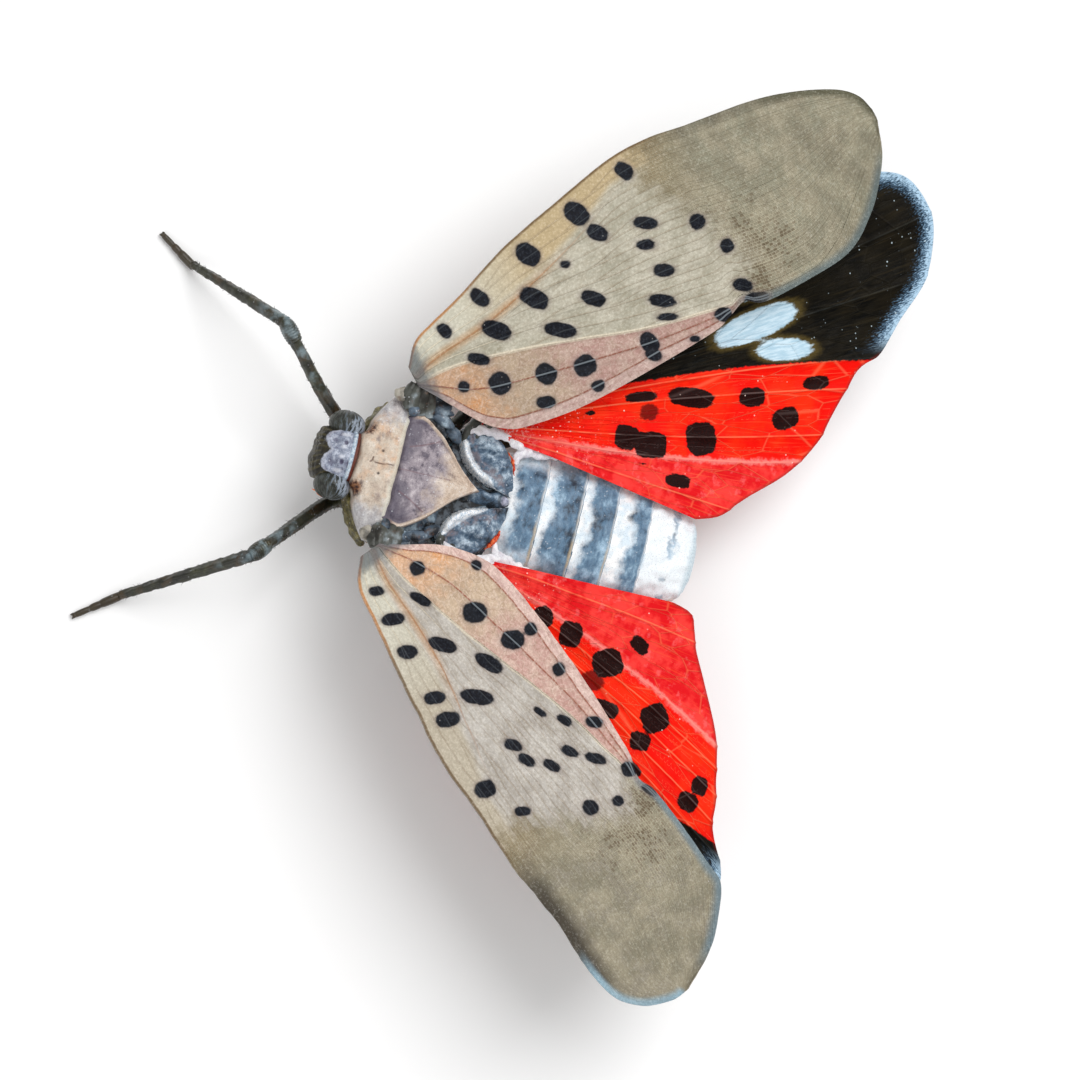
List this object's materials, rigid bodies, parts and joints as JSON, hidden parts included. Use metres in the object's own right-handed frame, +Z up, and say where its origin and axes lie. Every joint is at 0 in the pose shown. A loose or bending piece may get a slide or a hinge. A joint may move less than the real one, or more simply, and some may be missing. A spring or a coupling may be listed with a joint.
{
  "type": "spotted lanternfly insect model",
  "caption": "Life-size still model of an adult spotted lanternfly standing with its spotted forewings raised and its red, black and white hindwings spread.",
  "frame": {"origin": "middle of the outline seen from above, at the level of the feet", "axes": "+Z up, -Y the way the head faces, +X to the insect's left, with the body's midline along Y"},
  "size_m": [0.039, 0.0316, 0.009],
  "materials": {
    "grey_plate": "blue-grey body plate with a thin waxy bloom, matt",
    "tan_plate": "tan collar plate with greyish ends, matt",
    "purple_plate": "purple-grey shield plate with tan edges, matt",
    "banded_abdomen": "blue-grey rings edged with white wax, matt",
    "eye": "dark olive-brown facetted eye, soft gloss",
    "antenna": "orange bulb with a dark bristle",
    "leg": "near-black horny leg with a grey bloom, satin",
    "forewing": "leathery tan wing with black spots and a fine grey net at the tip",
    "hindwing": "thin red wing with black spots, white patches and a black end"
  },
  "bodies": {
    "root": {"head": "grey_plate", "prothorax": "tan_plate", "mesothorax": "purple_plate", "metathorax": "grey_plate", "abdomen": "banded_abdomen", "abdomen_tip": "banded_abdomen", "eye_left": "eye", "eye_right": "eye", "antenna_left": "antenna", "antenna_right": "antenna", "beak": "leg", "tegula_left": "grey_plate", "tegula_right": "grey_plate", "forewing_left": "forewing", "forewing_right": "forewing", "hindwing_left": "hindwing", "hindwing_right": "hindwing", "femur_fore_left": "leg", "tibia_fore_left": "leg", "tarsus_fore_left": "leg", "femur_fore_right": "leg", "tibia_fore_right": "leg", "tarsus_fore_right": "leg", "femur_mid_left": "leg", "tibia_mid_left": "leg", "tarsus_mid_left": "leg", "femur_mid_right": "leg", "tibia_mid_right": "leg", "tarsus_mid_right": "leg", "femur_hind_left": "leg", "tibia_hind_left": "leg", "tarsus_hind_left": "leg", "femur_hind_right": "leg", "tibia_hind_right": "leg", "tarsus_hind_right": "leg"}
  },
  "joints": []
}
